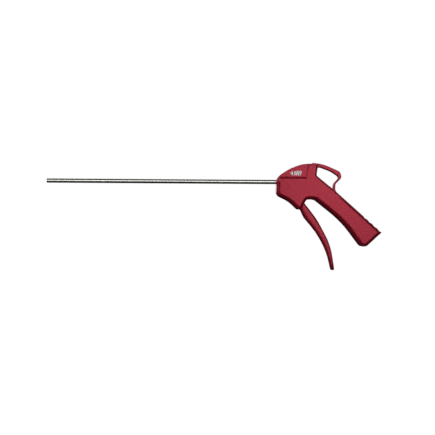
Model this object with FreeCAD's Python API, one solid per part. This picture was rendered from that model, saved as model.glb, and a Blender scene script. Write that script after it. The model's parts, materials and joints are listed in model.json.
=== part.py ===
import FreeCAD, Part
import math
import os

from FreeCAD import Vector

# Compressed-air blow gun with a long straight nozzle.
# Everything is drawn in the handle's own frame: X runs back along the nozzle
# axis from the front face of the nose, Y is the width, Z is up.  The last step
# moves it back by the nozzle's reach, so that the origin of the part is the
# centre of the nozzle's open tip and the air leaves along -X.

# ---- Driving dimensions, millimetres and degrees ----
NOZZLE_REACH = 320.7        # open tip to the front face of the nose
NOZZLE_SHOULDER_GAP = 0.2   # tube's shoulder to that face
NOZZLE_OD = 6.0
NOZZLE_ID = 4.0
NOZZLE_SHANK_D = 5.6        # turned down inside the handle; its shoulder stops at the nose

BODY_WIDTH = 28.0           # over both shells
WALL = 3.0                  # shell wall round the outline
PANEL_DEPTH = 1.8           # recessed nose panels
PANEL_WALL = 1.8            # what is left of the side wall behind a panel
PANEL_RAMP = 3.9            # width of the ramp round a panel
PANEL_FOOT = 6.9            # level of the panel's lower edge
PANEL_BACK_FOOT = 40.3      # its back edge leans back from here ...
PANEL_BACK_TOP = 44.6       # ... to here, far above the nose
PANEL_CORNER_SHARE = 0.55   # how far the ramp's corner moves back as it widens
SHOULDER_STEP = 0.5         # the shoulder lies this much below cheek and grip
EDGE_ROUND = 5.0            # rounding of the handle's side edges
GROOVES = 4                 # across the lower back of the grip
GROOVE_PITCH = 8.9
GROOVE_DEPTH = 1.1
GROOVE_RADIUS = 4.2
LOOP_WIDTH = 11.0           # hanging loop
LOOP_ROUND = 1.1

PIVOT_X = 13.4              # lever pivot, from the nose and below the nozzle
PIVOT_DROP = 8.6
PIN_D = 4.0
LEVER_WIDTH = 16.0
LEVER_BOSS_R = 4.5
LEVER_FACE = 3.75           # face that pushes the stem, from the pivot
LEVER_ROUND = 1.6
LEVER_TRAVEL = 14.0         # degrees of squeeze
SLOT_GAP = 0.3              # between the lever and each cheek
RUNNING_GAP = 0.05          # radial, pins and stems that move
SEAT_GAP = 0.03             # radial, what is pushed or screwed home

VALVE_TILT = 45.0           # valve axis above the nozzle axis
STEM_ARM = 12.0             # pivot to valve axis
STEM_FREE_PLAY = 0.3        # lever to stem at rest
STEM_RATIO = 1.03           # stem travel over arm times lever angle
STEM_D = 4.0
STEM_NECK_D = 3.2
SEAT_D = 5.4
CARTRIDGE_D = 10.0
CARTRIDGE_FLATS = 10.5
CARTRIDGE_FLANGE = 1.7
BLOCK_D = 15.6
BLOCK_END_WALL = 2.0
BARREL_D = 12.4
BARREL_FACE = 20.1          # mouth of the block's barrel, behind the front of the nose
PORT_D = 3.6
POPPET_D = 8.8
SPRING_D = 8.0
SPRING_WIRE = 0.7
SPRING_TURNS = 5.5
SEAL_GROOVE = 1.6           # width of every seal's groove
SEAL_DEPTH = 1.4

ADAPTER_D = 8.0             # threaded bush on the nozzle tube
ADAPTER_FLATS = 10.0
ADAPTER_FLANGE = 2.1
ADAPTER_LENGTH = 5.0
NOZZLE_SEAL_ROOM = 1.2

INLET_LEVEL = 31.0          # air tube axis, up the valve axis from the pivot
INLET_BOSS_D = 13.0
INLET_BOSS_END = 28.0       # from the pivot, down the grip
AIR_TUBE_OD = 8.0
AIR_TUBE_ID = 6.0
AIR_TUBE_TOP = 19.6
INSERT_D = 17.0             # brass inlet insert, G1/4 thread
INSERT_FLATS = 14.0
INSERT_COLLAR = 7.0
INSERT_LENGTH = 20.0
INLET_THREAD_MINOR_D = 11.45
INLET_THREAD_LENGTH = 13.0
INSERT_SINK = 1.0           # insert's face below the grip's base
TUBE_SOCKET = 6.0

SCREW_D = 3.0
SCREW_HEAD_D = 5.6
SCREW_HEAD_H = 2.4
SCREW_SINK = 0.6            # heads below the panels
SCREW_SLOT = 1.2
SCREW_BOSS_D = 7.4
PIN_BOSS_D = 11.0
RIB = 2.4
NOSE_RIB = 5.7              # middle of the solid front of the nose
NOSE_RIB_DEPTH = 5.2
BARREL_RIB_FOOT = -2.0
CROWN_RIB_FOOT = -12.0
GRIP_RIBS = 3
GRIP_RIB_TOP = 44.0         # the first one, down the grip from the pivot
BASE_SOLID = 30.0           # solid foot of the grip round the inlet insert
DIMPLE_D = 9.0              # round dimple over each end of the lever pin
DIMPLE_DEPTH = 1.2
PIN_SKIN = 0.8              # plastic left between pin and dimple

# ---- Levels up the valve axis, counted from the pivot ----
CARTRIDGE_FACE = 9.3
BLOCK_FACE = CARTRIDGE_FACE + CARTRIDGE_FLANGE
GUIDE_END = 15.5
CROSS_LEVEL = 18.7          # where the air leaves the cartridge
SEAT_FACE = 24.3
FRONT_SEAL = 13.6
REAR_SEAL = 22.9
SEAT_LIFT_OFF = 0.05
POPPET_SEAL_H = 1.5
POPPET_BACK = SEAT_FACE + SEAT_LIFT_OFF + 2 * POPPET_SEAL_H
SPRING_STOP = 35.5

# ---- Directions and places worked out from them ----
TILT = math.radians(VALVE_TILT)
DOWN_GRIP = Vector(math.cos(TILT), 0, -math.sin(TILT))
UP_VALVE = Vector(math.sin(TILT), 0, math.cos(TILT))
ACROSS = Vector(0, 1, 0)
BACK = Vector(1, 0, 0)
PIVOT = Vector(PIVOT_X, 0, -PIVOT_DROP)
HALF = BODY_WIDTH / 2
HOLLOW_HALF = HALF - PANEL_DEPTH - PANEL_WALL
SLOT_HALF = LEVER_WIDTH / 2 + SLOT_GAP
STEM_TRAVEL = STEM_RATIO * STEM_ARM * math.radians(LEVER_TRAVEL)
FAR = 200.0


def at(x, z, y=0.0):
    return Vector(x, y, z)


def from_pivot(down, up, y=0.0):
    """A place given down the grip's line and up the valve's line from the pivot."""
    return PIVOT + DOWN_GRIP * down + UP_VALVE * up + Vector(0, y, 0)


def on_valve(height):
    return from_pivot(STEM_ARM, height)


def outline(*corners):
    """A closed wire of straight runs.  A corner's third number rounds it."""
    places = [at(c[0], c[1]) for c in corners]
    rounds = [c[2] if len(c) > 2 else 0 for c in corners]
    ends = []
    for i, place in enumerate(places):
        back = (places[i - 1] - place).normalize()
        ahead = (places[(i + 1) % len(places)] - place).normalize()
        half_turn = (math.pi - back.getAngle(ahead)) / 2
        reach = rounds[i] * math.tan(half_turn)
        inwards = (back + ahead).normalize()
        middle = place + inwards * rounds[i] * (1 / math.cos(half_turn) - 1)
        ends.append((place + back * reach, middle, place + ahead * reach))
    edges = []
    for i, (first, middle, last) in enumerate(ends):
        if rounds[i]:
            edges.append(Part.Arc(first, middle, last).toShape())
        edges.append(Part.LineSegment(last, ends[(i + 1) % len(ends)][0]).toShape())
    return Part.Wire(edges)


def slab(wire, half):
    """The outline as a plate, the same to both sides of the middle plane."""
    wire = wire.copy()
    wire.translate(Vector(0, -half, 0))
    return Part.Face(wire).extrude(Vector(0, 2 * half, 0))


def polygon_slab(points, half):
    return slab(Part.makePolygon(points + [points[0]]), half)


def rod(diameter, start, way, length):
    return Part.makeCylinder(diameter / 2, length, start, way)


def tube(outer, inner, start, way, length):
    return rod(outer, start, way, length).cut(rod(inner, start, way, length))


def hexagon(across_flats, start, way, length):
    corner = across_flats / math.sqrt(3)
    points = []
    for i in range(7):
        turn = math.radians(60 * i)
        points.append(Vector(corner * math.cos(turn), corner * math.sin(turn), 0))
    shape = Part.Face(Part.makePolygon(points)).extrude(Vector(0, 0, length))
    shape.Placement = FreeCAD.Placement(start, FreeCAD.Rotation(Vector(0, 0, 1), way))
    return shape


def o_ring(bore, section, centre, way):
    return Part.makeTorus((bore + section) / 2, section / 2, centre, way)


def side_edges(shape, half, keep):
    """Edges that lie in either flat side of a plate, where keep(edge) agrees."""
    found = []
    for edge in shape.Edges:
        box = edge.BoundBox
        if min(abs(box.YMin - half), abs(box.YMax + half)) < 1e-4:
            if box.YLength < 1e-4 and keep(edge):
                found.append(edge)
    return found


# ---- Handle: outer form ----
HEEL = (146.4, -69.5)
TOE = (125.6, -88.9)
BACK_TOP = (84.2, -14.3)
HANDLE = (
    (0.0, 3.4, 5.2),            # nose
    (0.1, -18.6, 8.0),
    (17.5, -27.0, 40.0),
    (33.1, -41.8, 5.2),         # lip in front of the lever
    (39.2, -29.0),
    (42.0, -24.2, 5.0),         # finger arch
    (53.3, -24.0, 12.0),
    (91.6, -54.4, 150.0),       # hollow of the grip for the fingers
    (118.2, -89.5, 5.2),        # toe of the base
    TOE + (6.0,),
    HEEL,
    BACK_TOP + (60.0,),
    (55.5, 9.2, 3.0),
    (57.8, 25.5),
    (35.7, 25.5, 50.0),         # top of the nose
    (17.2, 17.9, 60.0),
    (4.8, 9.8, 14.0),
)
LOOP_OUTER = (
    (50.2, 27.2),
    (66.0, 25.0, 60.0),
    (88.9, 14.8, 6.5),
    (91.3, 6.6, 5.0),
    (82.6, -2.4, 3.0),
    (82.2, -10.2, 4.0),
    (86.5, -17.5),
    (70.0, -14.0),
    (50.2, 2.0),
)
LOOP_HOLE = (
    (57.3, 20.9, 1.5),
    (62.0, 20.4, 15.0),
    (76.5, 15.2, 40.0),
    (87.8, 7.2, 3.2),
    (80.0, -1.4, 4.0),
    (78.4, -10.0, 1.0),
    (72.0, -12.0),
    (54.0, 2.8),
    (55.5, 9.2),
)


def loop_shape():
    half = LOOP_WIDTH / 2
    ring = slab(outline(*LOOP_OUTER), half).cut(slab(outline(*LOOP_HOLE), half))

    def on_the_rim(edge):
        box = edge.BoundBox
        return box.XMin > 57.2 and box.ZMax > -9.0 and edge.Length > 0.5

    return ring.makeFillet(LOOP_ROUND, side_edges(ring, half, on_the_rim))


def panel_recess(side):
    """The ramped recess round the nose panel, wider at the outer face."""
    front = -20
    top = 40
    past_the_side = 0.6

    def rim(grow, y):
        foot = PANEL_FOOT - grow
        points = [
            at(front, foot, y),
            at(PANEL_BACK_FOOT + PANEL_CORNER_SHARE * grow, foot, y),
            at(PANEL_BACK_TOP + grow, top, y),
            at(front, top, y),
        ]
        return Part.makePolygon(points + [points[0]])

    spread = PANEL_RAMP * (PANEL_DEPTH + past_the_side) / PANEL_DEPTH
    floor = rim(0, side * (HALF - PANEL_DEPTH))
    mouth = rim(spread, side * (HALF + past_the_side))
    return Part.makeLoft([floor, mouth], True, True)


def shoulder_relief(side):
    edge = outline(
        (-5, 0.9),
        (40.2, 0.9, 1.0),
        (38.2, -9.0, 5.0),
        (40.0, -13.5, 2.0),
        (70.0, -14.4, 30.0),
        (92.0, -24.0),
        (120, 0),
        (60, 60),
        (-5, 60),
    )
    edge.translate(Vector(0, side * (HALF - SHOULDER_STEP), 0))
    return Part.Face(edge).extrude(Vector(0, side * SHOULDER_STEP * 2, 0))


def back_grooves():
    """Scallops across the lower back of the grip, for the palm."""
    heel = at(*HEEL)
    up_back = (at(*BACK_TOP) - heel).normalize()
    outwards = Vector(-up_back.z, 0, up_back.x) * -1
    cutters = []
    for i in range(GROOVES):
        on_back = heel + up_back * GROOVE_PITCH * (i + 0.5)
        centre = on_back + outwards * (GROOVE_RADIUS - GROOVE_DEPTH)
        centre.y = -HALF
        cutters.append(rod(2 * GROOVE_RADIUS, centre, ACROSS, BODY_WIDTH))
    return cutters


def outer_form():
    plate = slab(outline(*HANDLE), HALF)
    body = plate.makeFillet(EDGE_ROUND, side_edges(plate, HALF, lambda edge: True))
    for side in (-1, 1):
        body = body.cut(shoulder_relief(side))
        body = body.cut(panel_recess(side))
    body = body.cut(Part.makeCompound(back_grooves()))
    return body.fuse(loop_shape()).removeSplitter()


# ---- Places inside the handle ----
def base_distance():
    """Pivot to the grip's base, measured down the air tube's axis."""
    heel = at(*HEEL)
    toe = at(*TOE)
    way = heel - toe
    start = from_pivot(0, INLET_LEVEL)
    share = (start - toe).dot(UP_VALVE) / way.dot(UP_VALVE)
    return (toe + way * share - start).dot(DOWN_GRIP)


INSERT_FACE = base_distance() - INSERT_SINK
INSERT_TOP = INSERT_FACE - INSERT_LENGTH
BLOCK_TOP = SPRING_STOP + BLOCK_END_WALL
VALVE_CROSSING = on_valve(0).x - on_valve(0).z / math.tan(TILT)
BARREL_BOTTOM = BARREL_FACE + ADAPTER_LENGTH + NOZZLE_SEAL_ROOM
SCREW_PLACES = (
    at(22.5, 12.5),
    at(53.0, 19.1),
    from_pivot(60.0, 39.8),
    from_pivot(101.0, 40.5),
)
HEAD_TOP = HALF - PANEL_DEPTH - SCREW_SINK
HEAD_SEAT = HEAD_TOP - SCREW_HEAD_H
PIN_HALF = HALF - DIMPLE_DEPTH - PIN_SKIN


def down_grip(diameter, start, end, level=INLET_LEVEL):
    return rod(diameter, from_pivot(start, level), DOWN_GRIP, end - start)


def up_valve(diameter, start, end):
    return rod(diameter, on_valve(start), UP_VALVE, end - start)


def slice_across(centre, way, thickness, low, high):
    """A plate square to way, from low to high along its other in-plane direction."""
    side = Vector(-way.z, 0, way.x)
    start = centre - way * thickness / 2
    points = [start + side * low, start + side * high]
    points += [points[1] + way * thickness, points[0] + way * thickness]
    return polygon_slab(points, HALF)


# ---- Valve block ----
def block_envelope(grow=0.0):
    valve = up_valve(BLOCK_D + 2 * grow, BLOCK_FACE - grow, BLOCK_TOP + grow)
    start = at(BARREL_FACE - grow, 0)
    barrel = rod(BARREL_D + 2 * grow, start, BACK, VALVE_CROSSING - start.x)
    inlet = down_grip(INLET_BOSS_D + 2 * grow, STEM_ARM, INLET_BOSS_END + grow)
    return valve.multiFuse([barrel, inlet]).removeSplitter()


def tube_seal_groove(level):
    """Ring groove round the air tube's socket."""
    outer = AIR_TUBE_OD + 2 * SEAL_DEPTH
    return tube(outer, AIR_TUBE_OD, from_pivot(level, INLET_LEVEL), DOWN_GRIP, SEAL_GROOVE)


UPPER_TUBE_SEAL = AIR_TUBE_TOP + 2.4
LOWER_TUBE_SEAL = INSERT_TOP + 1.6


def valve_block():
    start = at(BARREL_FACE - 1, 0)
    cuts = [
        up_valve(CARTRIDGE_D + 2 * SEAT_GAP, BLOCK_FACE - 1, SPRING_STOP),
        rod(ADAPTER_D + 2 * SEAT_GAP, start, BACK, BARREL_BOTTOM - start.x),
        rod(PORT_D, start, BACK, VALVE_CROSSING - start.x),
        down_grip(AIR_TUBE_ID, STEM_ARM, INLET_BOSS_END),
        down_grip(AIR_TUBE_OD + 2 * SEAT_GAP, AIR_TUBE_TOP - SEAT_GAP, INLET_BOSS_END + 1),
        tube_seal_groove(UPPER_TUBE_SEAL),
        up_valve(CARTRIDGE_FLATS / math.cos(math.pi / 6) + 0.2, 0, BLOCK_FACE),
    ]
    return block_envelope().cut(Part.makeCompound(cuts))


# ---- Valve cartridge and what slides in it ----
def cartridge_groove(level):
    inner = CARTRIDGE_D - 2 * SEAL_DEPTH
    start = on_valve(level - SEAL_GROOVE / 2)
    return tube(CARTRIDGE_D + 1, inner, start, UP_VALVE, SEAL_GROOVE)


def valve_cartridge():
    body = up_valve(CARTRIDGE_D, BLOCK_FACE, SEAT_FACE)
    flange = hexagon(CARTRIDGE_FLATS, on_valve(CARTRIDGE_FACE), UP_VALVE, CARTRIDGE_FLANGE)
    body = body.fuse(flange)
    gallery = 2.5
    cuts = [
        up_valve(STEM_D + 2 * RUNNING_GAP, CARTRIDGE_FACE - 1, GUIDE_END + 1),
        up_valve(SEAT_D, GUIDE_END, SEAT_FACE + 1),
        cartridge_groove(FRONT_SEAL),
        cartridge_groove(REAR_SEAL),
        tube(CARTRIDGE_D + 1, CARTRIDGE_D - 1.6, on_valve(CROSS_LEVEL - gallery), UP_VALVE, 2 * gallery),
    ]
    for way in (ACROSS, DOWN_GRIP):
        start = on_valve(CROSS_LEVEL) - way * CARTRIDGE_D
        cuts.append(rod(3.0, start, way, 2 * CARTRIDGE_D))
    for cutter in cuts:
        body = body.cut(cutter)
    return body


def fitted_ring(inner, outer, centre, way):
    """A seal that just clears both the walls it lies between."""
    bore = inner + 2 * SEAT_GAP
    section = (outer - inner) / 2 - 2 * SEAT_GAP
    return o_ring(bore, section, centre, way)


STEM_TIP = LEVER_FACE + STEM_FREE_PLAY
STEM_SHOULDER = GUIDE_END - 0.3
STEM_SEAL = 11.8
STEM_SEAL_WIDTH = 1.1
STEM_GROOVE_D = 2.8
STEM_END = POPPET_BACK + 2.2


def valve_stem():
    dome = Part.makeSphere(STEM_D / 2, on_valve(STEM_TIP + STEM_D / 2))
    thick = up_valve(STEM_D, STEM_TIP + STEM_D / 2, STEM_SHOULDER)
    neck = up_valve(STEM_NECK_D, STEM_SHOULDER - 1, STEM_END)
    start = on_valve(STEM_SEAL - STEM_SEAL_WIDTH / 2)
    groove = tube(STEM_D + 1, STEM_GROOVE_D, start, UP_VALVE, STEM_SEAL_WIDTH)
    return thick.multiFuse([dome, neck]).cut(groove)


def poppet_seal():
    start = SEAT_FACE + SEAT_LIFT_OFF
    disc = up_valve(POPPET_D - 0.4, start, start + POPPET_SEAL_H)
    return disc.cut(up_valve(STEM_NECK_D + 2 * SEAT_GAP, start - 1, STEM_END))


def poppet():
    start = POPPET_BACK - POPPET_SEAL_H
    disc = up_valve(POPPET_D, start, POPPET_BACK)
    hub = up_valve(SPRING_D - 2 * SPRING_WIRE - 1.2, start, STEM_END + 0.6)
    bore = up_valve(STEM_NECK_D + 2 * SEAT_GAP, start - 1, STEM_END + SEAT_GAP)
    return disc.fuse(hub).cut(bore)


def poppet_spring():
    """Round wire swept along half turns of a helix, end to end."""
    radius = (SPRING_D - SPRING_WIRE) / 2
    rise = SPRING_STOP - POPPET_BACK - SPRING_WIRE - 2 * SEAT_GAP
    half_turns = round(2 * SPRING_TURNS)
    step = rise / half_turns
    helix = Part.makeHelix(2 * step, step, radius)
    path = []
    for i in range(half_turns):
        piece = helix.copy()
        turn = FreeCAD.Rotation(Vector(0, 0, 1), 180 * i)
        piece.Placement = FreeCAD.Placement(Vector(0, 0, step * i), turn)
        path += piece.Edges
    section = Part.makeCircle(SPRING_WIRE / 2, Vector(radius, 0, 0), ACROSS)
    coil = Part.Wire(path).makePipeShell([Part.Wire(section)], True, True)
    start = on_valve(POPPET_BACK + SPRING_WIRE / 2 + SEAT_GAP)
    coil.Placement = FreeCAD.Placement(start, FreeCAD.Rotation(Vector(0, 0, 1), UP_VALVE))
    return coil


# ---- Nozzle ----
def nozzle_tube():
    shoulder = -NOZZLE_SHOULDER_GAP
    end = BARREL_BOTTOM - 0.2
    outside = rod(NOZZLE_OD, at(-NOZZLE_REACH, 0), BACK, NOZZLE_REACH + shoulder)
    shank = rod(NOZZLE_SHANK_D, at(shoulder, 0), BACK, end - shoulder)
    return outside.fuse(shank).cut(rod(NOZZLE_ID, at(-NOZZLE_REACH, 0), BACK, 2 * FAR))


def nozzle_adapter():
    start = at(BARREL_FACE - ADAPTER_FLANGE, 0)
    flange = hexagon(ADAPTER_FLATS, start, BACK, ADAPTER_FLANGE)
    thread = rod(ADAPTER_D, at(BARREL_FACE, 0), BACK, ADAPTER_LENGTH)
    return flange.fuse(thread).cut(rod(NOZZLE_SHANK_D + 2 * SEAT_GAP, start, BACK, FAR))


def nozzle_seal():
    centre = at(BARREL_FACE + ADAPTER_LENGTH + NOZZLE_SEAL_ROOM / 2, 0)
    return fitted_ring(NOZZLE_SHANK_D, ADAPTER_D, centre, BACK)


# ---- Air supply in the grip ----
def air_tube():
    start = from_pivot(AIR_TUBE_TOP, INLET_LEVEL)
    length = INSERT_TOP + TUBE_SOCKET - SEAT_GAP - AIR_TUBE_TOP
    return tube(AIR_TUBE_OD, AIR_TUBE_ID, start, DOWN_GRIP, length)


def tube_seal(level):
    centre = from_pivot(level + SEAL_GROOVE / 2, INLET_LEVEL)
    return fitted_ring(AIR_TUBE_OD, AIR_TUBE_OD + 2 * SEAL_DEPTH, centre, DOWN_GRIP)


def insert_envelope(grow=0.0, mouth=0.0):
    start = from_pivot(INSERT_TOP - grow, INLET_LEVEL)
    hexed = hexagon(INSERT_FLATS + 2 * grow, start, DOWN_GRIP, INSERT_LENGTH)
    collar_top = INSERT_FACE - INSERT_COLLAR - grow
    return hexed.fuse(down_grip(INSERT_D + 2 * grow, collar_top, INSERT_FACE + mouth))


def inlet_insert():
    body = insert_envelope()
    cuts = [
        down_grip(INLET_THREAD_MINOR_D, INSERT_FACE - INLET_THREAD_LENGTH, INSERT_FACE + 1),
        down_grip(AIR_TUBE_ID, INSERT_TOP - 1, INSERT_FACE),
        down_grip(AIR_TUBE_OD + 2 * SEAT_GAP, INSERT_TOP - 1, INSERT_TOP + TUBE_SOCKET),
        tube_seal_groove(LOWER_TUBE_SEAL),
    ]
    return body.cut(Part.makeCompound(cuts))


# ---- Lever ----
LEVER_TOP = from_pivot(0, LEVER_FACE)
LEVER_HEEL = from_pivot(0, -LEVER_BOSS_R)
LEVER = (
    (LEVER_TOP.x, LEVER_TOP.z),
    (40.4, -30.25, 60.0),
    (57.3, -52.2, 90.0),
    (76.0, -86.6, 90.0),
    (81.9, -122.6, 2.0),        # tip
    (77.1, -122.9, 1.8),
    (71.4, -97.5, 100.0),
    (57.3, -71.3, 110.0),
    (38.3, -48.8, 5.0),         # knee, where the first finger rests
    (33.6, -38.0, 8.0),
    (LEVER_HEEL.x, LEVER_HEEL.z),
)
LEVER_HOLLOW = (
    (43.6, -41.6, 1.0),
    (54.0, -55.0, 40.0),
    (68.5, -82.5, 60.0),
    (72.6, -93.0, 1.0),
    (80.0, -91.0),
    (62.0, -50.0),
    (48.0, -36.0),
)
LEVER_RIM = 3.0             # wall left each side of the hollow


def trigger_lever():
    half = LEVER_WIDTH / 2
    blade = slab(outline(*LEVER), half)
    reach = (at(40.4, -30.25) - PIVOT).Length

    def past_the_cheeks(edge):
        return (edge.CenterOfMass - PIVOT).Length > reach

    blade = blade.makeFillet(LEVER_ROUND, side_edges(blade, half, past_the_cheeks))
    boss = rod(2 * LEVER_BOSS_R, PIVOT - ACROSS * half, ACROSS, LEVER_WIDTH)
    blade = blade.fuse(boss).removeSplitter()
    blade = blade.cut(slab(outline(*LEVER_HOLLOW), half - LEVER_RIM))
    hole = PIN_D + 2 * RUNNING_GAP
    return blade.cut(rod(hole, PIVOT - ACROSS * HALF, ACROSS, BODY_WIDTH))


def lever_pin():
    return rod(PIN_D, PIVOT - ACROSS * PIN_HALF, ACROSS, 2 * PIN_HALF)


# ---- Shells ----
def lever_slot():
    """Room for the lever between the cheeks, from rest to full squeeze."""
    corners = [
        (6.0, -5.4), (36.0, -7.0), (41.0, -6.5), (41.0, 14.0),
        (36.6, 13.9), (18.0, 9.1), (6.0, 6.5),
    ]
    return polygon_slab([from_pivot(down, up) for down, up in corners], SLOT_HALF)


def ribs_and_bosses():
    wide = 60
    nose = slice_across(at(NOSE_RIB, 0), BACK, NOSE_RIB_DEPTH, -wide, wide)
    barrel = slice_across(at(BARREL_FACE + 4, 0), BACK, RIB, BARREL_RIB_FOOT, wide)
    crown = slice_across(on_valve(BLOCK_TOP - RIB), UP_VALVE, RIB, CROWN_RIB_FOOT, wide)
    base_middle = from_pivot(INSERT_TOP + 13, INLET_LEVEL)
    base = slice_across(base_middle, DOWN_GRIP, BASE_SOLID, -wide, wide)
    standing = [nose, barrel, crown, base]
    step = (INSERT_TOP - GRIP_RIB_TOP) / GRIP_RIBS
    for i in range(GRIP_RIBS):
        centre = from_pivot(GRIP_RIB_TOP + step * i, INLET_LEVEL)
        standing.append(slice_across(centre, DOWN_GRIP, RIB, -wide, wide))
    for place in SCREW_PLACES:
        standing.append(rod(SCREW_BOSS_D, place - ACROSS * HALF, ACROSS, BODY_WIDTH))
    for side in (-1, 1):
        start = PIVOT + ACROSS * side * SLOT_HALF
        standing.append(rod(PIN_BOSS_D, start, ACROSS * side, HALF - SLOT_HALF))
    return standing


def shell_cuts():
    """All that is taken out of the solid handle: its hollow, then every seat."""
    hollow = slab(outline(*HANDLE).makeOffset2D(-WALL), HOLLOW_HALF)
    for solid in ribs_and_bosses():
        hollow = hollow.cut(solid)
    clear = 0.1
    cuts = [
        hollow,
        block_envelope(clear),
        rod(NOZZLE_SHANK_D + 2 * SEAT_GAP, at(-1, 0), BACK, BARREL_FACE),
        down_grip(AIR_TUBE_OD + 2 * clear, INLET_BOSS_END, INSERT_TOP),
        insert_envelope(clear, mouth=2 * INSERT_SINK + 1),
        lever_slot(),
        rod(PIN_D + 2 * SEAT_GAP, PIVOT - ACROSS * PIN_HALF, ACROSS, 2 * PIN_HALF),
    ]
    for side in (-1, 1):
        start = PIVOT + ACROSS * side * (HALF - DIMPLE_DEPTH)
        cuts.append(rod(DIMPLE_D, start, ACROSS * side, HALF))
    for place in SCREW_PLACES:
        pilot_end = place - ACROSS * HEAD_SEAT
        cuts.append(rod(SCREW_D + 2 * SEAT_GAP, pilot_end, ACROSS, 2 * HEAD_SEAT + 1))
        head = place + ACROSS * HEAD_SEAT
        cuts.append(rod(SCREW_HEAD_D + 4 * clear, head, ACROSS, HALF))
    return cuts


def body_shells():
    handle = outer_form()
    for cutter in shell_cuts():
        handle = handle.cut(cutter)
    halves = []
    for low in (-HALF - 1, 0):
        room = Part.makeBox(3 * FAR, HALF + 1, 2 * FAR, Vector(-FAR, low, -FAR))
        halves.append(handle.common(room).removeSplitter())
    return halves


def shell_screw(place):
    shank_end = place - ACROSS * (HEAD_SEAT - 0.2)
    shank = rod(SCREW_D, shank_end, ACROSS, 2 * HEAD_SEAT - 0.2)
    head = rod(SCREW_HEAD_D, place + ACROSS * HEAD_SEAT, ACROSS, SCREW_HEAD_H)
    recess = hexagon(2.5, place + ACROSS * (HEAD_TOP - SCREW_SLOT), ACROSS, SCREW_SLOT)
    return shank.fuse(head).cut(recess)


def build():
    left, right = body_shells()
    front = on_valve(FRONT_SEAL)
    rear = on_valve(REAR_SEAL)
    groove_d = CARTRIDGE_D - 2 * SEAL_DEPTH
    return {
        "body_shell_left": left,
        "body_shell_right": right,
        "shell_screws": Part.makeCompound([shell_screw(place) for place in SCREW_PLACES]),
        "trigger_lever": trigger_lever(),
        "lever_pin": lever_pin(),
        "valve_block": valve_block(),
        "valve_cartridge": valve_cartridge(),
        "cartridge_seal_front": fitted_ring(groove_d, CARTRIDGE_D, front, UP_VALVE),
        "cartridge_seal_rear": fitted_ring(groove_d, CARTRIDGE_D, rear, UP_VALVE),
        "valve_stem": valve_stem(),
        "stem_seal": fitted_ring(STEM_GROOVE_D, STEM_D, on_valve(STEM_SEAL), UP_VALVE),
        "poppet": poppet(),
        "poppet_seal": poppet_seal(),
        "poppet_spring": poppet_spring(),
        "nozzle_tube": nozzle_tube(),
        "nozzle_adapter": nozzle_adapter(),
        "nozzle_seal": nozzle_seal(),
        "air_tube": air_tube(),
        "air_tube_seal_upper": tube_seal(UPPER_TUBE_SEAL),
        "air_tube_seal_lower": tube_seal(LOWER_TUBE_SEAL),
        "inlet_insert": inlet_insert(),
    }


if __name__ == "__main__":
    os.makedirs("parts", exist_ok=True)
    for name, shape in build().items():
        shape.translate(Vector(NOZZLE_REACH, 0, 0))
        solids = len(shape.Solids)
        print(f"{name:22s} solids {solids}  volume {shape.Volume:9.1f}  {shape.isValid()}")
        shape.exportStep(f"parts/{name}.step")
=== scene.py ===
# %% [markdown]
# # A compressed-air blow gun with a long nozzle
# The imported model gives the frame: every body, joint and part sits where it belongs, in metres. The origin is the
# open tip of the nozzle, +X runs back along the tube to the handle and +Z is up. This lesson dresses that frame:
# it sets up a small studio, mixes the finishes, and models by hand the parts that deserve more shape.

# %% Load the frame
import json
import math

import bmesh
import bpy
from mathutils import Matrix, Vector


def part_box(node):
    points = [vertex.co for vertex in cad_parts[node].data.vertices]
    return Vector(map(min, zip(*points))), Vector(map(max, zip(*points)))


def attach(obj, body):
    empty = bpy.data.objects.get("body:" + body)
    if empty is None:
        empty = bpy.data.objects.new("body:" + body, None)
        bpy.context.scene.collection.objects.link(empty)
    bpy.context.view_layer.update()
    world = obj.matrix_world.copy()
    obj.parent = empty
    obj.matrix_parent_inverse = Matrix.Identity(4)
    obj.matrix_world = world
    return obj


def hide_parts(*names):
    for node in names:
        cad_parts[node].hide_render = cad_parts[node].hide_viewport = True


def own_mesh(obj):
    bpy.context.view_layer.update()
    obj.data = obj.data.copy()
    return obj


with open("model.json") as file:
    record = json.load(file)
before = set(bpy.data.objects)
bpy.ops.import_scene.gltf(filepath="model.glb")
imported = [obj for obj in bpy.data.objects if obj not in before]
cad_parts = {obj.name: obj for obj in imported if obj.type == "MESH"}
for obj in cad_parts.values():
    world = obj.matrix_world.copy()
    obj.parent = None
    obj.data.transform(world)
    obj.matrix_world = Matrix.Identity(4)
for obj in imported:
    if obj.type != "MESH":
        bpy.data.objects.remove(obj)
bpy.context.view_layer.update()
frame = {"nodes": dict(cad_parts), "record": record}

scene = bpy.context.scene
nodes = frame["nodes"]
MM = 0.001

# %% [markdown]
# ## Camera
# A tool this long is shown square from the side, so that the nozzle keeps its length. The camera looks along +Y from
# a little over a metre away, near enough for the left-hand faces of the handle to come into view. It is rolled by a
# third of a degree, so that the nozzle runs very slightly downhill to the right.

# %% Place the camera
VIEW_CENTRE = Vector((0.2390, 0, -0.0502))
VIEW_WIDTH = 0.609
VIEW_DISTANCE = 1.15
ROLL = math.radians(0.377)

to_the_right = Vector((math.cos(ROLL), 0, math.sin(ROLL)))
upwards = Vector((-math.sin(ROLL), 0, math.cos(ROLL)))
towards_camera = Vector((0, -1, 0))
camera_data = bpy.data.cameras.new("studio_camera")
camera_data.sensor_width = 36
camera_data.lens = camera_data.sensor_width * VIEW_DISTANCE / VIEW_WIDTH
camera = bpy.data.objects.new("studio_camera", camera_data)
scene.collection.objects.link(camera)
turned = Matrix((to_the_right, upwards, towards_camera)).transposed().to_4x4()
camera.matrix_world = Matrix.Translation(VIEW_CENTRE + towards_camera * VIEW_DISTANCE) @ turned
scene.camera = camera
print("lens, mm:", round(camera_data.lens, 1))

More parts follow.
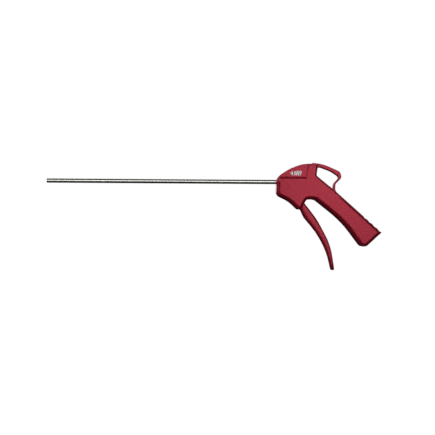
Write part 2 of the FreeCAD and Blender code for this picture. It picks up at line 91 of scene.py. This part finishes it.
# %% [markdown]
# ## Studio
# A catalogue picture has a clean white ground and soft light. The world is white where the camera sees it, but dim
# where it lights the tool, so the undersides can fall into shade. A pale floor lies well below the tool. It is left
# out of the bounced light, as if black card lay under the product. Its whiteness is a painted glow. The glow is weaker
# under the tool and full white towards the rim, so the edge of the floor fades into the white ground.

# %% World and floor
world = bpy.data.worlds.new("studio")
scene.world = world
world.use_nodes = True
tree = world.node_tree
seen = tree.nodes["Background"]
seen.inputs["Color"].default_value = (1, 1, 1, 1)
lighting = tree.nodes.new("ShaderNodeBackground")
lighting.inputs["Strength"].default_value = 0.08
sky = tree.nodes.new("ShaderNodeTexCoord")
height = tree.nodes.new("ShaderNodeSeparateXYZ")
fade = tree.nodes.new("ShaderNodeValToRGB")
fade.color_ramp.elements[0].position = 0.35
fade.color_ramp.elements[0].color = (0.12, 0.12, 0.12, 1)
fade.color_ramp.elements[1].position = 0.75
fade.color_ramp.elements[1].color = (1, 1, 1, 1)
lift = tree.nodes.new("ShaderNodeMapRange")
lift.inputs["From Min"].default_value = -1
choose = tree.nodes.new("ShaderNodeMixShader")
rays = tree.nodes.new("ShaderNodeLightPath")
tree.links.new(sky.outputs["Generated"], height.inputs[0])
tree.links.new(height.outputs["Z"], lift.inputs["Value"])
tree.links.new(lift.outputs["Result"], fade.inputs[0])
tree.links.new(fade.outputs["Color"], lighting.inputs["Color"])
tree.links.new(rays.outputs["Is Camera Ray"], choose.inputs[0])
tree.links.new(lighting.outputs[0], choose.inputs[1])
tree.links.new(seen.outputs[0], choose.inputs[2])
tree.links.new(choose.outputs[0], tree.nodes["World Output"].inputs[0])

FLOOR_LEVEL = -0.62
FLOOR_RADIUS = 2.4
bpy.ops.object.select_all(action="DESELECT")
bpy.ops.mesh.primitive_circle_add(
    vertices=96, radius=FLOOR_RADIUS, fill_type="NGON", location=(0.25, 0, FLOOR_LEVEL))
floor = bpy.context.object
floor.name = "floor"
floor.visible_diffuse = False
floor.visible_glossy = False
paper = bpy.data.materials.new("paper_with_painted_glow")
paper.use_nodes = True
paper_tree = paper.node_tree
paper_shader = paper_tree.nodes["Principled BSDF"]
paper_shader.inputs["Base Color"].default_value = (0.5, 0.5, 0.49, 1)
paper_shader.inputs["Roughness"].default_value = 0.9
# Painted glow: the floor emits white, from 0.62 near its middle under the tool up to 1.0 towards its rim.
paper_shader.inputs["Emission Color"].default_value = (1, 1, 1, 1)
from_the_middle = paper_tree.nodes.new("ShaderNodeVectorMath")
from_the_middle.operation = "LENGTH"
paper_place = paper_tree.nodes.new("ShaderNodeTexCoord")
painted_glow = paper_tree.nodes.new("ShaderNodeMapRange")
painted_glow.interpolation_type = "SMOOTHSTEP"
painted_glow.inputs["From Min"].default_value = 0.25
painted_glow.inputs["From Max"].default_value = 0.95
painted_glow.inputs["To Min"].default_value = 0.62
painted_glow.inputs["To Max"].default_value = 1.0
paper_tree.links.new(paper_place.outputs["Object"], from_the_middle.inputs[0])
paper_tree.links.new(from_the_middle.outputs["Value"], painted_glow.inputs["Value"])
paper_tree.links.new(painted_glow.outputs["Result"], paper_shader.inputs["Emission Strength"])
floor.data.materials.append(paper)
scene.view_settings.view_transform = "Standard"
print("floor level, mm:", round(FLOOR_LEVEL / MM))

# %% [markdown]
# ## Lights
# Soft boxes, as in a product studio. The key hangs in front and to the right, so faces that look down and to the left
# go dark and the handle gets its shape. A weak box on the left opens up the front of the nose. The top and rear boxes
# keep the far side readable. Long low strips give the nozzle its bright lines from end to end.

# %% Soft boxes
def soft_box(name, place, target, width, height, power):
    data = bpy.data.lights.new(name, "AREA")
    data.shape = "RECTANGLE"
    data.size = width
    data.size_y = height
    data.energy = power
    box = bpy.data.objects.new(name, data)
    scene.collection.objects.link(box)
    aim = Vector(target) - Vector(place)
    box.matrix_world = Matrix.Translation(place) @ aim.to_track_quat("-Z", "Y").to_matrix().to_4x4()
    return box


HANDLE_MIDDLE = (0.385, 0, -0.04)
NOZZLE_MIDDLE = (0.2, 0, 0)
key_box = soft_box("key", (0.60, -1.25, 0.10), HANDLE_MIDDLE, 0.50, 0.50, 5.2)
left_box = soft_box("left", (-0.45, -0.30, 0.42), HANDLE_MIDDLE, 0.6, 0.6, 4)
top_box = soft_box("top", (0.45, 0.25, 1.3), HANDLE_MIDDLE, 1.2, 0.8, 4)
rear_box = soft_box("rear", (0.5, 1.5, 0.60), HANDLE_MIDDLE, 2.4, 1.3, 22)
strips = [
    soft_box("strip", (0.22, -1.20, 0.34), NOZZLE_MIDDLE, 1.9, 0.40, 6.5),
    soft_box("low_strip", (0.22, -1.15, -0.45), NOZZLE_MIDDLE, 1.9, 0.4, 0.7),
    soft_box("rear_strip", (0.22, 1.20, 0.06), NOZZLE_MIDDLE, 1.9, 0.25, 2.5)]

# %% [markdown]
# Polished metal shows every lamp as a line along its length. The nozzle is therefore lit by the strips alone, and the
# strips light nothing else. Each light keeps a collection of what it reaches, or of what it leaves out.

# %% Give the nozzle its own lights
only_the_nozzle = bpy.data.collections.new("only_the_nozzle")
not_the_nozzle = bpy.data.collections.new("not_the_nozzle")


def light_alone(piece):
    only_the_nozzle.objects.link(piece)
    not_the_nozzle.objects.link(piece)
    not_the_nozzle.collection_objects[0].light_linking.link_state = "EXCLUDE"
    for box in strips:
        box.light_linking.receiver_collection = only_the_nozzle
    for box in (key_box, left_box, top_box, rear_box):
        box.light_linking.receiver_collection = not_the_nozzle
    print("lit alone:", piece.name)

# %% [markdown]
# ## Finishes
# Each finish is a small node network on object coordinates, so its grain keeps its real size in millimetres. Two
# noises do most of the work: a broad one shifts the colour and the gloss a little, as on any part that has been
# handled, and a fine one is the grain of the surface, which goes to a bump. Numbers that are the same all over stay
# on the shader itself.

# %% A finish with a broad mottle and a fine grain
def finish(name, dark, light, gloss, grain_mm, grain_depth_mm, metallic=0.0, stretch=(1, 1, 1), mottle_mm=14,
           specular=0.5):
    material = bpy.data.materials.new(name)
    material.use_nodes = True
    tree = material.node_tree
    make, join = tree.nodes.new, tree.links.new
    shader = tree.nodes["Principled BSDF"]
    shader.inputs["Metallic"].default_value = metallic
    shader.inputs["Specular IOR Level"].default_value = specular
    place = make("ShaderNodeTexCoord")
    turn = make("ShaderNodeMapping")
    turn.inputs["Scale"].default_value = stretch
    join(place.outputs["Object"], turn.inputs["Vector"])

    broad = make("ShaderNodeTexNoise")
    broad.inputs["Scale"].default_value = 1 / (mottle_mm * MM)
    broad.inputs["Detail"].default_value = 4
    join(turn.outputs["Vector"], broad.inputs["Vector"])
    colours = make("ShaderNodeValToRGB")
    colours.color_ramp.elements[0].position = 0.3
    colours.color_ramp.elements[0].color = (*dark, 1)
    colours.color_ramp.elements[1].position = 0.7
    colours.color_ramp.elements[1].color = (*light, 1)
    join(broad.outputs["Fac"], colours.inputs["Fac"])
    join(colours.outputs["Color"], shader.inputs["Base Color"])

    fine = make("ShaderNodeTexNoise")
    fine.inputs["Scale"].default_value = 1 / (grain_mm * MM)
    fine.inputs["Detail"].default_value = 2
    join(turn.outputs["Vector"], fine.inputs["Vector"])
    rough = make("ShaderNodeMapRange")
    rough.inputs["To Min"].default_value = gloss[0]
    rough.inputs["To Max"].default_value = gloss[1]
    join(broad.outputs["Fac"], rough.inputs["Value"])
    join(rough.outputs["Result"], shader.inputs["Roughness"])
    bump = make("ShaderNodeBump")
    bump.inputs["Strength"].default_value = 0.6
    bump.inputs["Distance"].default_value = grain_depth_mm * MM
    join(fine.outputs["Fac"], bump.inputs["Height"])
    join(bump.outputs["Normal"], shader.inputs["Normal"])
    print(f"{name}: grain {grain_mm} mm")
    return material


# %% [markdown]
# The handle and the lever are moulded from dark red glass-filled nylon. Its skin is satin, with the fine sparked
# texture of the mould, and its gloss varies a little where hands have polished it. The same noise recipe serves the
# metals, with the grain stretched along the tube for drawn steel.

# %% The finishes of this tool
red_nylon = finish(
    "red_nylon", (0.27, 0.008, 0.024), (0.33, 0.012, 0.032), (0.34, 0.42), 0.6, 0.003, metallic=0.35, specular=0.2)
plated_tube = finish(
    "plated_tube", (0.74, 0.72, 0.68), (0.84, 0.82, 0.78), (0.10, 0.17), 0.5, 0.0012,
    metallic=1.0, stretch=(0.04, 1, 1), mottle_mm=9)
zinc_steel = finish(
    "zinc_steel", (0.42, 0.42, 0.44), (0.62, 0.62, 0.63), (0.25, 0.42), 0.3, 0.006, metallic=1.0, mottle_mm=3)
brass = finish(
    "brass", (0.56, 0.38, 0.15), (0.72, 0.53, 0.24), (0.22, 0.38), 0.25, 0.006, metallic=1.0, mottle_mm=5)
nitrile = finish(
    "nitrile", (0.012, 0.012, 0.013), (0.024, 0.024, 0.025), (0.5, 0.7), 0.3, 0.01, mottle_mm=4)
natural_nylon = finish(
    "natural_nylon", (0.62, 0.61, 0.55), (0.74, 0.73, 0.68), (0.35, 0.5), 0.6, 0.01, mottle_mm=8)
white_print = finish(
    "white_print", (0.93, 0.90, 0.90), (0.97, 0.95, 0.95), (0.42, 0.55), 0.25, 0.006, mottle_mm=2)

FINISH_OF_SLOT = {
    "red_nylon": red_nylon, "plated_tube": plated_tube, "zinc_steel": zinc_steel,
    "brass": brass, "nitrile": nitrile, "clear_nylon": natural_nylon,
}

# %% [markdown]
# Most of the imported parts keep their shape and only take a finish. Each one is looked up by the material slot that
# the record gives it.

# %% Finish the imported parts
for part in frame["record"]["subparts"]:
    mesh = nodes[part["node"]].data
    mesh.materials.clear()
    mesh.materials.append(FINISH_OF_SLOT[part["material_slot"]])

# %% [markdown]
# ## Working in edit mode from a script
# By hand one clicks the faces to work on. In a script they are picked by where they are or which way they look. The
# small helpers below open a primitive for editing, pick in it, and close it again. The primitive's turn and place are
# applied to its mesh at once, so every later number is a real position on the tool, and patterns stay put.

# %% Open, pick, close
NEAR = 0.01  # mm, close enough to count as the same place


def open_primitive(name):
    piece = bpy.context.object
    piece.name = piece.data.name = name
    bpy.ops.object.transform_apply(location=True, rotation=True, scale=True)
    bpy.ops.object.mode_set(mode="EDIT")
    return piece


def pick(kind, wanted):
    bpy.ops.mesh.select_mode(type=kind)
    bpy.ops.mesh.select_all(action="DESELECT")
    shape = bmesh.from_edit_mesh(bpy.context.object.data)
    members = {"VERT": shape.verts, "EDGE": shape.edges, "FACE": shape.faces}[kind]
    chosen = [member for member in members if wanted(member)]
    for member in chosen:
        member.select_set(True)
    bmesh.update_edit_mesh(bpy.context.object.data)
    return len(chosen)


def middle(member):
    corners = [vertex.co for vertex in member.verts]
    return sum(corners, Vector()) / len(corners) / MM


def tidy_and_close(smooth_angle):
    bpy.ops.mesh.select_all(action="SELECT")
    bpy.ops.mesh.remove_doubles(threshold=0.00001)
    bpy.ops.mesh.normals_make_consistent(inside=False)
    bpy.ops.object.mode_set(mode="OBJECT")
    bpy.ops.object.shade_smooth_by_angle(angle=math.radians(smooth_angle))


def cut_with(piece, cutter, operation="DIFFERENCE"):
    bpy.ops.object.select_all(action="DESELECT")
    piece.select_set(True)
    bpy.context.view_layer.objects.active = piece
    boolean = piece.modifiers.new("cut", "BOOLEAN")
    boolean.operation = operation
    boolean.solver = "EXACT"
    boolean.object = cutter
    bpy.ops.object.modifier_apply(modifier=boolean.name)
    bpy.data.objects.remove(cutter)


def report(piece):
    shape = bmesh.new()
    shape.from_mesh(piece.data)
    open_edges = sum(1 for edge in shape.edges if not edge.is_manifold)
    volume = shape.calc_volume(signed=True) / MM ** 3
    print(f"{piece.name}: {len(shape.faces)} faces, {open_edges} open edges, {volume:.1f} mm3")
    shape.free()

# %% [markdown]
# ## Nozzle
# The nozzle is a steel tube, bent nowhere, nickel plated and bright. Its rim is broken so that it does not scratch.
# It could be a curve with a bevel, but then its ends need caps. A cylinder is simpler: the rim is bevelled, the back
# end is stepped down to the shank that sits in the handle, and the bore is bridged through from end to end.

# %% Cylinder, rim and shank
TUBE_RADIUS = 3.0
BORE_RADIUS = 2.0
SHANK_RADIUS = 2.8
RIM_BEVEL = 0.4
TUBE_LENGTH = 320.5
SHANK_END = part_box("nozzle_tube")[1][0] / MM
bpy.ops.object.select_all(action="DESELECT")
bpy.ops.mesh.primitive_cylinder_add(
    vertices=64, radius=TUBE_RADIUS * MM, depth=TUBE_LENGTH * MM,
    location=(TUBE_LENGTH / 2 * MM, 0, 0), rotation=(0, math.pi / 2, 0))
nozzle = open_primitive("nozzle")
rim = pick("EDGE", lambda edge: all(vertex.co.x < NEAR * MM for vertex in edge.verts))
bpy.ops.mesh.bevel(offset=RIM_BEVEL * MM, segments=3, affect="EDGES")
pick("FACE", lambda face: face.normal.x < -0.99)
bpy.ops.mesh.inset(thickness=(TUBE_RADIUS - RIM_BEVEL - BORE_RADIUS) * MM)
pick("FACE", lambda face: face.normal.x > 0.99)
bpy.ops.mesh.inset(thickness=(TUBE_RADIUS - SHANK_RADIUS) * MM)
bpy.ops.mesh.extrude_region_move(
    TRANSFORM_OT_translate={"value": ((SHANK_END - TUBE_LENGTH) * MM, 0, 0)})
bpy.ops.mesh.inset(thickness=(SHANK_RADIUS - BORE_RADIUS) * MM)
print("rim edges bevelled:", rim)

# %% [markdown]
# Two discs are left, one at each end, as wide as the bore. Bridging them takes both away and joins their edges with
# a wall, which is the bore.

# %% Bore
pick("FACE", lambda face: abs(face.normal.x) > 0.99 and len(face.verts) > 8)
bpy.ops.mesh.bridge_edge_loops()
tidy_and_close(30)
nozzle.data.materials.append(plated_tube)
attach(nozzle, "handle")
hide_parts("nozzle_tube")
report(nozzle)
light_alone(nozzle)

# %% [markdown]
# ## Trigger lever
# The lever is a curved paddle that hangs from a pin under the nose. It is thick where the fingers start and thins to
# a rounded tip. It could be a curve with a profile, but its two edges do not run parallel. Level slices give both
# edges freely: a short block is extruded slice by slice down to the tip, and each slice is moved and scaled.

# %% Level slices from the pin to the tip
LEVER_WIDTH = 16.0
SLICES = (
    (-10, 332.7, 340.81), (-14, 332.9, 344.82), (-18, 336.46, 348.83), (-24, 341.81, 354.84),
    (-30, 347.17, 360.71), (-36, 352.52, 365.53), (-41, 355.61, 369.38), (-46, 357.78, 373.23),
    (-50, 360.01, 376.18), (-55, 364.24, 379.42), (-62, 370.15, 383.33), (-70, 376.37, 387.68),
    (-79, 382.11, 392.3), (-88, 386.94, 395.82), (-97, 390.91, 398.28), (-106, 393.88, 399.88),
    (-114, 395.8, 401.19), (-119, 396.92, 402.01), (-121.5, 397.49, 402.12), (-122.5, 398.21, 401.22))
TIP_TAPER = {-114: 0.97, -119: 0.94, -121.5: 0.90, -122.5: 0.88}
top, front, back = SLICES[0]
second = SLICES[1]
bpy.ops.object.select_all(action="DESELECT")
bpy.ops.mesh.primitive_cube_add(size=1, location=((front + back) / 2 * MM, 0, (top + second[0]) / 2 * MM))
bpy.context.object.scale = ((back - front) * MM, LEVER_WIDTH * MM, (top - second[0]) * MM)
lever = open_primitive("lever")


def set_slice(level, new_front, new_back):
    pick("VERT", lambda vertex: abs(vertex.co.z - level * MM) < NEAR * MM)
    shape = bmesh.from_edit_mesh(lever.data)
    places = [vertex.co.x / MM for vertex in shape.verts if vertex.select]
    old_front, old_back = min(places), max(places)
    bpy.ops.transform.translate(value=(((new_front + new_back) - (old_front + old_back)) / 2 * MM, 0, 0))
    bpy.ops.transform.resize(value=((new_back - new_front) / (old_back - old_front), 1, 1))


set_slice(*second)
for (level, _, _), (next_level, next_front, next_back) in zip(SLICES[1:], SLICES[2:]):
    pick("FACE", lambda face: face.normal.z < -0.9 and abs(middle(face).z - level) < NEAR)
    bpy.ops.mesh.extrude_region_move(TRANSFORM_OT_translate={"value": (0, 0, (next_level - level) * MM)})
    set_slice(next_level, next_front, next_back)
    if next_level in TIP_TAPER:
        bpy.ops.transform.resize(value=(1, TIP_TAPER[next_level], 1))
print("lever slices:", len(SLICES))

# %% [markdown]
# The sides of the paddle are crowned: they roll over to the front and back without an edge. A bevel by percent does
# this well, because it grows with the thickness of the paddle and never overlaps itself near the tip.

# %% Crown the sides
def runs_down(edge):
    one, two = edge.verts
    return abs(one.co.z - two.co.z) > 0.5 * MM and abs(one.co.y - two.co.y) < 1.5 * MM


long_edges = pick("EDGE", runs_down)
bpy.ops.mesh.bevel(offset_type="PERCENT", offset_pct=26, segments=6, profile=0.5, affect="EDGES", clamp_overlap=True)
print("long edges rounded:", long_edges)

# %% [markdown]
# Moulded levers are hollowed from behind, to save plastic and keep the walls even. The faces that look back at the
# grip are inset together and pushed in.

# %% Hollow the back
hollow = pick("FACE", lambda face: face.normal.x > 0.5 and -89 < middle(face).z < -42 and abs(middle(face).y) < 1.5)
bpy.ops.mesh.inset(thickness=0.5 * MM, use_even_offset=True)
bpy.ops.mesh.extrude_region_move(TRANSFORM_OT_translate={"value": (-3.4 * MM, 0, -2.0 * MM)})
tidy_and_close(40)
print("hollowed faces:", hollow)

# %% [markdown]
# The lever turns on a steel pin, through a boss at its top. The boss is a cylinder joined to the paddle by a boolean
# union, and the hole for the pin is cut from both. The pin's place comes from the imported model, and the hole is a
# little wider than the pin so that the lever turns freely.

# %% Boss and pin hole
pin_low, pin_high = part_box("lever_pin")
pin_middle = [(low + high) / 2 for low, high in zip(pin_low, pin_high)]
PIN_HOLE_RADIUS, BOSS_RADIUS, CUT_SPARE = 2.05, 4.5, 4
for name, radius, length, action in (("boss", BOSS_RADIUS, LEVER_WIDTH, "UNION"),
                                     ("pin_hole", PIN_HOLE_RADIUS, LEVER_WIDTH + CUT_SPARE, "DIFFERENCE")):
    bpy.ops.object.select_all(action="DESELECT")
    bpy.ops.mesh.primitive_cylinder_add(
        vertices=64, radius=radius * MM, depth=length * MM, location=pin_middle, rotation=(math.pi / 2, 0, 0))
    tool = open_primitive(name)
    if action == "UNION":
        pick("EDGE", lambda edge: abs(edge.verts[0].co.y - edge.verts[1].co.y) < NEAR * MM)
        bpy.ops.mesh.bevel(offset=0.5 * MM, segments=2, affect="EDGES")
    bpy.ops.object.mode_set(mode="OBJECT")
    cut_with(lever, tool, action)
bpy.ops.object.mode_set(mode="EDIT")
tidy_and_close(40)
lever.data.materials.clear()
lever.data.materials.append(red_nylon)
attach(lever, "trigger")
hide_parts("trigger_lever")
report(lever)

# %% [markdown]
# ## Printed mark
# The sunken panel on each side of the nose carries a white print. Here it is a plain sign that air flows forwards: an
# arrow head and a row of slanted bars. It could be painted by the material, but a thin raised print keeps crisp edges
# in every view. One bar is shaped, then duplicated; the other side is a mirrored copy with its own mesh.

# %% Arrow head and bars
PANEL_FLOOR = 12.2
PRINT_SUNK, PRINT_PROUD = 0.05, 0.07
MARK_LOW, MARK_HIGH = 8.9, 15.1
BAR_WIDTH, BAR_PITCH, BAR_SLANT = 1.9, 2.65, 1.1
ARROW_TIP, FIRST_BAR = 338.9, 344.4
mark_middle = (MARK_LOW + MARK_HIGH) / 2
bpy.ops.object.select_all(action="DESELECT")
bpy.ops.mesh.primitive_plane_add(
    size=1, location=((FIRST_BAR + BAR_WIDTH / 2) * MM, -(PANEL_FLOOR - PRINT_SUNK) * MM, mark_middle * MM),
    rotation=(math.pi / 2, 0, 0))
bpy.context.object.scale = (BAR_WIDTH * MM, (MARK_HIGH - MARK_LOW) * MM, 1)
mark = open_primitive("flow_mark_left")
pick("VERT", lambda vertex: vertex.co.z > mark_middle * MM)
bpy.ops.transform.translate(value=(BAR_SLANT * MM, 0, 0))
bpy.ops.mesh.select_all(action="SELECT")
for _ in range(3):
    bpy.ops.mesh.duplicate_move(TRANSFORM_OT_translate={"value": (BAR_PITCH * MM, 0, 0)})
bpy.ops.mesh.primitive_plane_add(
    size=1, location=((ARROW_TIP + 2.2) * MM, -(PANEL_FLOOR - PRINT_SUNK) * MM, mark_middle * MM),
    rotation=(math.pi / 2, 0, 0))
bpy.ops.transform.resize(value=(4.4 * MM, 1, (MARK_HIGH - MARK_LOW) * MM))
pick("VERT", lambda vertex: vertex.co.x < (ARROW_TIP + 0.5) * MM)
bpy.ops.transform.resize(value=(1, 1, 0.08))
bpy.ops.mesh.select_all(action="SELECT")
bpy.ops.mesh.extrude_region_move(TRANSFORM_OT_translate={"value": (0, -(PRINT_SUNK + PRINT_PROUD) * MM, 0)})
tidy_and_close(30)
report(mark)

# %% [markdown]
# The other panel carries the same sign, pointing the same way. A negative scale mirrors the copy but turns its faces
# inside out, so its normals are worked out again.

# %% Mirror it to the other side
bpy.ops.object.duplicate(linked=False)
other_mark = bpy.context.object
other_mark.name = other_mark.data.name = "flow_mark_right"
other_mark.scale = (1, -1, 1)
bpy.ops.object.transform_apply(location=True, rotation=True, scale=True)
bpy.ops.object.mode_set(mode="EDIT")
tidy_and_close(30)
for piece in (mark, other_mark):
    piece.data.materials.clear()
    piece.data.materials.append(white_print)
    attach(piece, "handle")
report(other_mark)

# %% [markdown]
# ## Case screws
# Four small screws hold the two shells together, with their heads sunk in the right-hand shell. Each has a low round
# head with a cross recess and a plain shank. One is modelled in the first place and the rest are copies, each with a
# mesh of its own, joined into one piece at the end.

# %% Head and shank
SCREW_PLACES = ((343.2, 12.5), (373.7, 19.1), (404.67, -22.88), (434.16, -51.38))
HEAD_RADIUS, HEAD_BOTTOM, HEAD_TOP = 2.8, 9.2, 11.6
SHANK_RADIUS_OF_SCREW, SHANK_TIP, POINT_LENGTH = 1.5, -9.0, 1
first_x, first_z = SCREW_PLACES[0]
bpy.ops.object.select_all(action="DESELECT")
bpy.ops.mesh.primitive_cylinder_add(
    vertices=40, radius=HEAD_RADIUS * MM, depth=(HEAD_TOP - HEAD_BOTTOM) * MM,
    location=(first_x * MM, (HEAD_BOTTOM + HEAD_TOP) / 2 * MM, first_z * MM), rotation=(math.pi / 2, 0, 0))
screws = open_primitive("case_screws")
pick("EDGE", lambda edge: all(vertex.co.y > (HEAD_TOP - NEAR) * MM for vertex in edge.verts))
bpy.ops.mesh.bevel(offset=0.8 * MM, segments=4, affect="EDGES")
pick("FACE", lambda face: face.normal.y < -0.99)
bpy.ops.mesh.inset(thickness=(HEAD_RADIUS - SHANK_RADIUS_OF_SCREW) * MM)
bpy.ops.mesh.extrude_region_move(
    TRANSFORM_OT_translate={"value": (0, (SHANK_TIP + POINT_LENGTH - HEAD_BOTTOM) * MM, 0)})
bpy.ops.mesh.extrude_region_move(TRANSFORM_OT_translate={"value": (0, -POINT_LENGTH * MM, 0)})
bpy.ops.transform.resize(value=(0.5, 1, 0.5))
bpy.ops.object.mode_set(mode="OBJECT")
print("screw head radius, mm:", HEAD_RADIUS)

# %% [markdown]
# The cross recess is two slim blocks at right angles, cut out of the head. Each narrows towards its bottom, as the
# driver's tip does.

# %% Cross recess
for long_x, long_z in ((3.4, 0.8), (0.8, 3.4)):
    bpy.ops.object.select_all(action="DESELECT")
    bpy.ops.mesh.primitive_cube_add(size=1, location=(first_x * MM, HEAD_TOP * MM, first_z * MM))
    bpy.context.object.scale = (long_x * MM, 2.6 * MM, long_z * MM)
    blade = open_primitive("recess")
    pick("FACE", lambda face: face.normal.y < -0.9)
    bpy.ops.transform.resize(value=(0.6, 1, 0.6))
    bpy.ops.object.mode_set(mode="OBJECT")
    cut_with(screws, blade)
bpy.ops.object.mode_set(mode="EDIT")
tidy_and_close(35)
copies = [screws]
for place_x, place_z in SCREW_PLACES[1:]:
    bpy.ops.object.select_all(action="DESELECT")
    screws.select_set(True)
    bpy.context.view_layer.objects.active = screws
    bpy.ops.object.duplicate(linked=False)
    bpy.context.object.location = ((place_x - first_x) * MM, 0, (place_z - first_z) * MM)
    bpy.ops.object.transform_apply(location=True, rotation=True, scale=True)
    copies.append(bpy.context.object)
bpy.ops.object.select_all(action="DESELECT")
for copy in copies:
    copy.select_set(True)
bpy.context.view_layer.objects.active = screws
bpy.ops.object.join()
screws.data.materials.clear()
screws.data.materials.append(zinc_steel)
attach(screws, "handle")
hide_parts("shell_screws")
report(screws)

# %% [markdown]
# ## Thread of the air inlet
# The hose fitting screws into a brass insert in the base of the grip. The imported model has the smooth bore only. The
# thread is one triangular ridge that winds up the bore. A Screw modifier turns a small triangle into it, which keeps
# the pitch exact, and its two open ends are then filled. The ridge is rooted a little way into the brass.

# %% Close the ends of a coil and stand it in its place
# The return spring further on is finished in the same way, so both use this helper.
def place_coil(coil, start, along, smooth_angle):
    bpy.ops.object.mode_set(mode="EDIT")
    bpy.ops.mesh.select_all(action="SELECT")
    bpy.ops.mesh.fill_holes(sides=0)
    bpy.ops.object.mode_set(mode="OBJECT")
    turn = along.to_track_quat("Z", "Y").to_matrix().to_4x4()
    coil.matrix_world = Matrix.Translation(start) @ turn
    bpy.ops.object.transform_apply(location=True, rotation=True, scale=True)
    bpy.ops.object.mode_set(mode="EDIT")
    tidy_and_close(smooth_angle)


# %% Wind a triangle up the bore
PITCH, TURNS, BORE = 1.337, 8, 5.725
THREAD_DEPTH, THREAD_ROOT, THREAD_START = 0.42, 0.15, 1.2
MOUTH = Vector((451.771, 0, -82.431)) * MM
INWARDS = Vector((-1, 0, 1)).normalized()
bpy.ops.object.select_all(action="DESELECT")
bpy.ops.mesh.primitive_circle_add(vertices=3, radius=0.5 * MM, fill_type="NOTHING", location=(0, 0, 0))
thread = open_primitive("inlet_thread")
section = ((BORE + THREAD_ROOT, -0.5), (BORE + THREAD_ROOT, 0.5), (BORE - THREAD_DEPTH, 0.0))
shape = bmesh.from_edit_mesh(thread.data)
for vertex, (across, along) in zip(shape.verts, section):
    vertex.co = Vector((across, 0, along)) * MM
bmesh.update_edit_mesh(thread.data)
bpy.ops.object.mode_set(mode="OBJECT")
winding = thread.modifiers.new("winding", "SCREW")
winding.axis = "Z"
winding.screw_offset = PITCH * MM
winding.iterations = TURNS
winding.steps = winding.render_steps = 40
winding.use_smooth_shade = False
bpy.ops.object.modifier_apply(modifier=winding.name)
place_coil(thread, MOUTH + INWARDS * THREAD_START * MM, INWARDS, 25)
thread.data.materials.append(brass)
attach(thread, "handle")
report(thread)

# %% [markdown]
# ## Return spring
# Behind the valve's poppet a coil spring pushes it shut. When the lever is squeezed the poppet slides back by three
# millimetres and the spring shortens. A rigid piece cannot follow. Here the coil is modelled afresh, wound by a Screw
# modifier from a circle of wire, and it keeps one length.

# %% Wind the spring
WIRE_RADIUS, COIL_RADIUS, COIL_RISE, COIL_TURNS = 0.35, 3.65, 7.39, 5.5
COIL_START = Vector((362.193, 0, 2.523)) * MM
COIL_STOP = Vector((367.688, 0, 8.017)) * MM
bpy.ops.object.select_all(action="DESELECT")
bpy.ops.mesh.primitive_circle_add(
    vertices=14, radius=WIRE_RADIUS * MM, fill_type="NOTHING", location=(COIL_RADIUS * MM, 0, 0),
    rotation=(math.pi / 2, 0, 0))
spring = open_primitive("return_spring")
bpy.ops.object.mode_set(mode="OBJECT")
winding = spring.modifiers.new("winding", "SCREW")
winding.axis = "Z"
winding.angle = COIL_TURNS * 2 * math.pi
winding.screw_offset = COIL_RISE * MM
winding.iterations = 1
winding.steps = winding.render_steps = 220
bpy.ops.object.modifier_apply(modifier=winding.name)
up_the_valve = (COIL_STOP - COIL_START).normalized()
place_coil(spring, COIL_START, up_the_valve, 50)
spring.data.materials.append(zinc_steel)
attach(spring, "handle")
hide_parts("poppet_spring")
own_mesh(spring)
report(spring)
